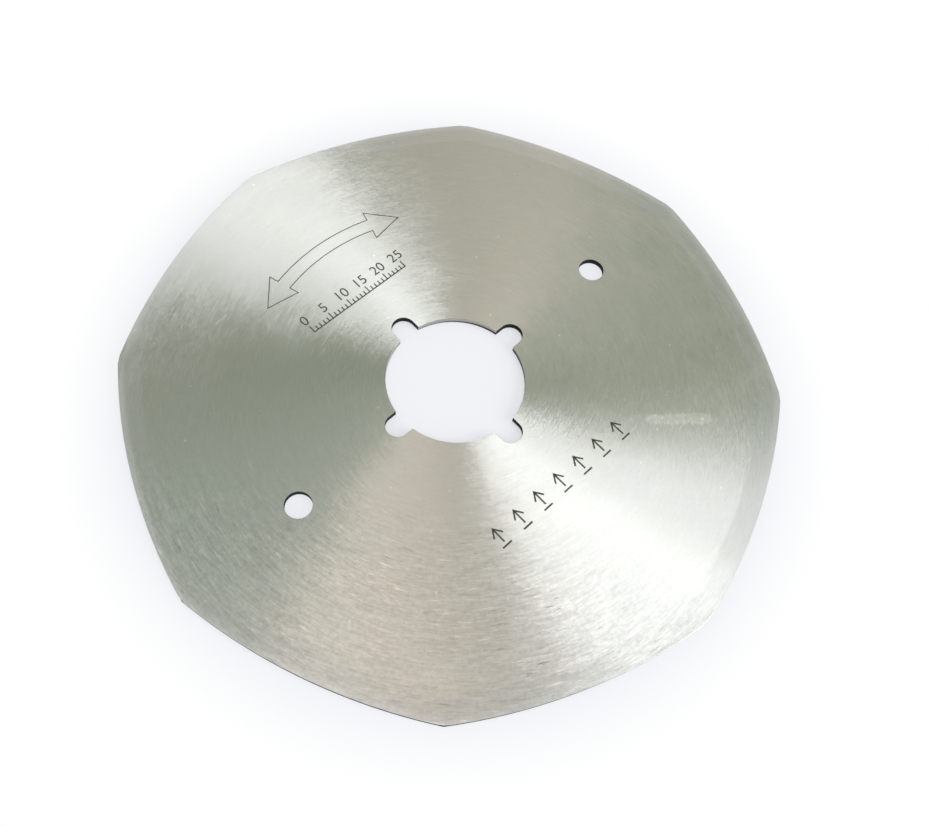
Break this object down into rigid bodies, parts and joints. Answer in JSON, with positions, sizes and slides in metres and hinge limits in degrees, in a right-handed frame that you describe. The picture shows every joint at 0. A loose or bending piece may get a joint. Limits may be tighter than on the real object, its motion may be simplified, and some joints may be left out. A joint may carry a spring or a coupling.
{
  "type": "rotary cutter blade",
  "caption": "Thin polygonal steel cutting disc with shallow curved sides, a keyed centre bore and pin holes, bevelled to its edge on the underside.",
  "frame": {"origin": "centre of the bore on the underside", "axes": "+Z along the bore axis, out of the marked upper face; +X through a corner and the pin holes"},
  "size_m": [0.135, 0.135, 0.0014],
  "materials": {
    "ground_steel": "circular ground, fine concentric lines"
  },
  "bodies": {
    "root": {"blade": "ground_steel"}
  },
  "joints": []
}
